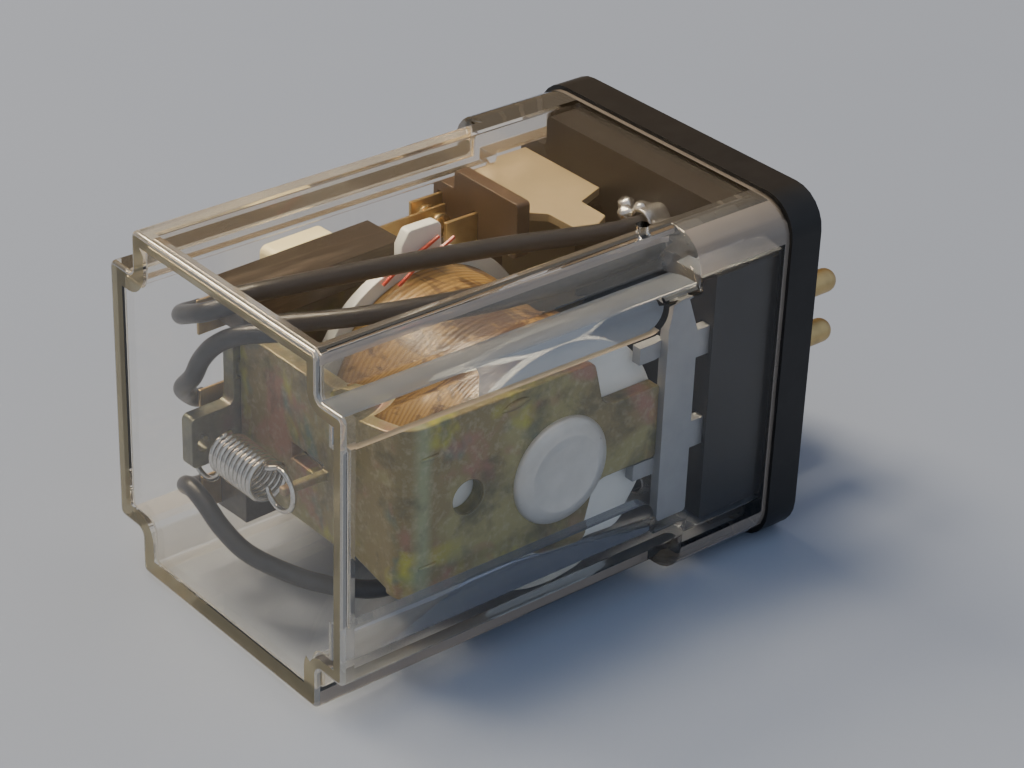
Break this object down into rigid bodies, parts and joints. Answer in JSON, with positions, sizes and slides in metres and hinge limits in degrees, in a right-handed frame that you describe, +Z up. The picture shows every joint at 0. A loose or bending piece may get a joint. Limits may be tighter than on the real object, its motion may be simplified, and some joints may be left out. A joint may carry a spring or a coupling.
{
  "type": "plug-in relay",
  "caption": "Clear-cased plug-in power relay: electromagnet with hinged armature and spring, changeover contact blades with flexible leads, and a keyed round-pin plug.",
  "frame": {"origin": "middle of the overall box, at the height of the surface it lies on", "axes": "+X along the length from the closed end of the cover to the plug, +Z up as it lies, -Y towards the riveted end of the core"},
  "size_m": [0.066, 0.0346, 0.0355],
  "materials": {
    "clear_plastic": "clear moulded polycarbonate, glossy",
    "black_plastic": "moulded, satin",
    "pin_brass": "drawn, slightly dulled",
    "plated_strip": "zinc plated",
    "yoke_plating": "yellow iridescent plating",
    "core_steel": "plated, upset by riveting",
    "white_plastic": "moulded",
    "copper_wire": "enamelled copper",
    "tape": "thin smooth tape",
    "red_wire": "enamelled copper",
    "tan_plastic": "moulded phenolic",
    "brown_plastic": "punched sheet",
    "contact_brass": "rolled sheet",
    "contact_metal": "polished buttons",
    "armature_plating": "yellow iridescent plating",
    "carrier_plastic": "moulded",
    "cream_plastic": "moulded",
    "rivet_brass": "plain",
    "spring_steel": "drawn wire",
    "lead_sleeve": "flexible sleeve",
    "ferrule_metal": "tinned"
  },
  "bodies": {
    "base_body": {"base": "black_plastic", "plug_pins": "pin_brass", "bracket_strip": "plated_strip", "yoke": "yoke_plating", "core": "core_steel", "bobbin": "white_plastic", "coil_winding": "copper_wire", "coil_tape": "tape", "coil_wires": "red_wire", "contact_block": "tan_plastic", "contact_barrier": "brown_plastic", "closed_contact_1": "contact_brass", "closed_contact_2": "contact_brass", "closed_contact_3": "contact_brass", "open_contact_1": "contact_brass", "open_contact_2": "contact_brass", "open_contact_3": "contact_brass", "fixed_buttons": "contact_metal", "lead_ferrules": "ferrule_metal"},
    "cover_body": {"cover": "clear_plastic"},
    "armature_body": {"armature": "armature_plating", "blade_carrier": "carrier_plastic", "blade_clamp": "cream_plastic", "clamp_rivets": "rivet_brass", "moving_blade_1": "contact_brass", "moving_blade_2": "contact_brass", "moving_blade_3": "contact_brass", "moving_buttons": "contact_metal", "return_spring": "spring_steel", "lead_1": "lead_sleeve", "lead_2": "lead_sleeve", "lead_3": "lead_sleeve"}
  },
  "joints": [
    {"name": "armature_pivot", "type": "hinge", "parent": "base_body", "child": "armature_body", "pos_m": [-0.025, 0.00825, 0.01735], "axis": [0, 0, 1], "range_deg": [-2.4, 0], "stiffness_Nm_per_rad": 0.02, "springref_deg": 11.46, "deforming": ["return_spring", "lead_1", "lead_2", "lead_3"]},
    {"name": "cover_slide", "type": "slide", "parent": "base_body", "child": "cover_body", "axis": [-1, 0, 0], "range_m": [0, 0.05]}
  ]
}
